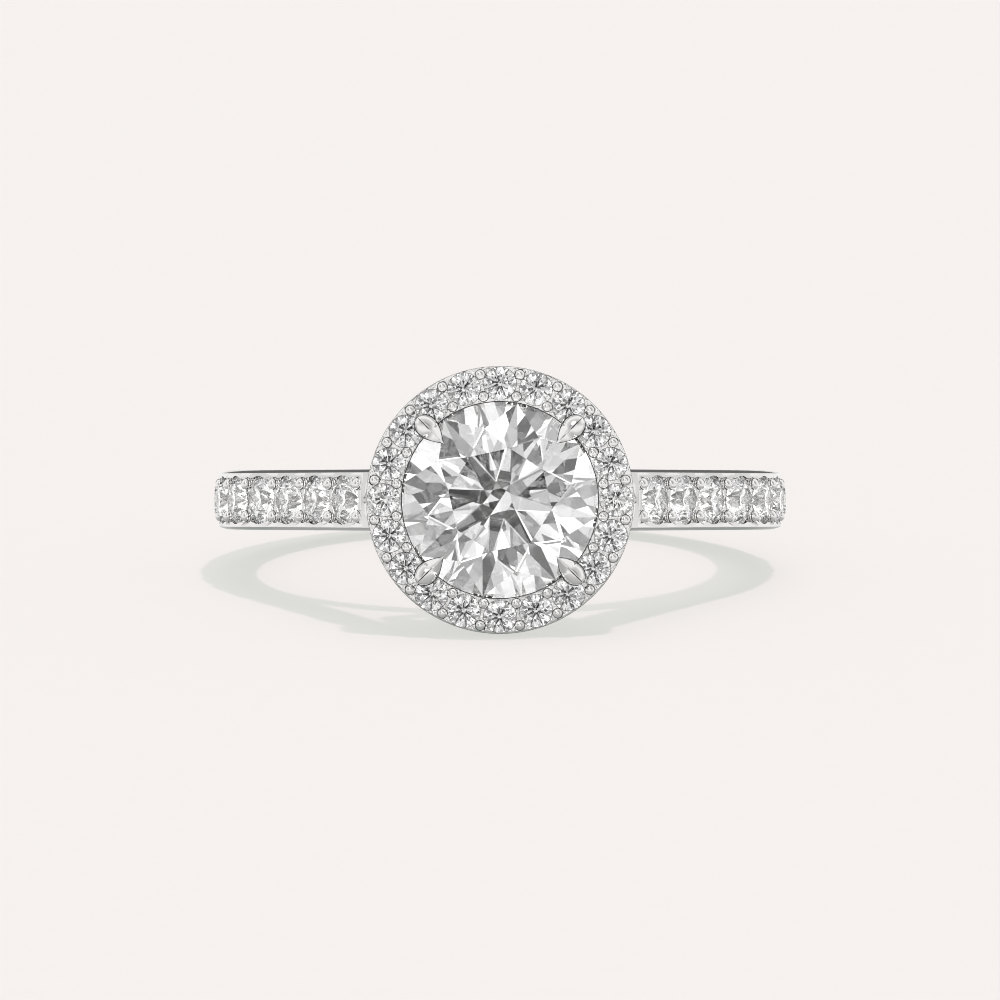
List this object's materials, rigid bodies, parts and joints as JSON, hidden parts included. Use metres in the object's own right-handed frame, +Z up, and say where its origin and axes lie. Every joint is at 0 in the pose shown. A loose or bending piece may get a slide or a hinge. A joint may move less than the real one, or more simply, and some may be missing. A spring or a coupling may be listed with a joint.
{
  "type": "halo ring",
  "caption": "Ring with a round brilliant in a four-claw basket, a halo of small brilliants, open cathedral shoulders and a bead-set row down each side.",
  "frame": {"origin": "on the surface that the ring rests on, under the middle of its outline from above", "axes": "+Z up; the head points towards -Y, tilted up by 9.17 degrees; X runs across the finger, and the ring is symmetric in it"},
  "size_m": [0.02, 0.0234, 0.0089],
  "materials": {
    "white_gold": "polished white gold, rhodium plated",
    "centre_diamond": "polished facets",
    "small_diamond": "polished facets"
  },
  "bodies": {
    "root": {"setting": "white_gold", "centre_stone": "centre_diamond", "halo_stone_1": "small_diamond", "halo_stone_2": "small_diamond", "halo_stone_3": "small_diamond", "halo_stone_4": "small_diamond", "halo_stone_5": "small_diamond", "halo_stone_6": "small_diamond", "halo_stone_7": "small_diamond", "halo_stone_8": "small_diamond", "halo_stone_9": "small_diamond", "halo_stone_10": "small_diamond", "halo_stone_11": "small_diamond", "halo_stone_12": "small_diamond", "halo_stone_13": "small_diamond", "halo_stone_14": "small_diamond", "halo_stone_15": "small_diamond", "halo_stone_16": "small_diamond", "halo_stone_17": "small_diamond", "halo_stone_18": "small_diamond", "halo_stone_19": "small_diamond", "halo_stone_20": "small_diamond", "shank_stone_1": "small_diamond", "shank_stone_2": "small_diamond", "shank_stone_3": "small_diamond", "shank_stone_4": "small_diamond", "shank_stone_5": "small_diamond", "shank_stone_6": "small_diamond", "shank_stone_7": "small_diamond", "shank_stone_8": "small_diamond", "shank_stone_9": "small_diamond", "shank_stone_10": "small_diamond", "shank_stone_11": "small_diamond", "shank_stone_12": "small_diamond", "shank_stone_13": "small_diamond", "shank_stone_14": "small_diamond", "shank_stone_15": "small_diamond", "shank_stone_16": "small_diamond"}
  },
  "joints": []
}
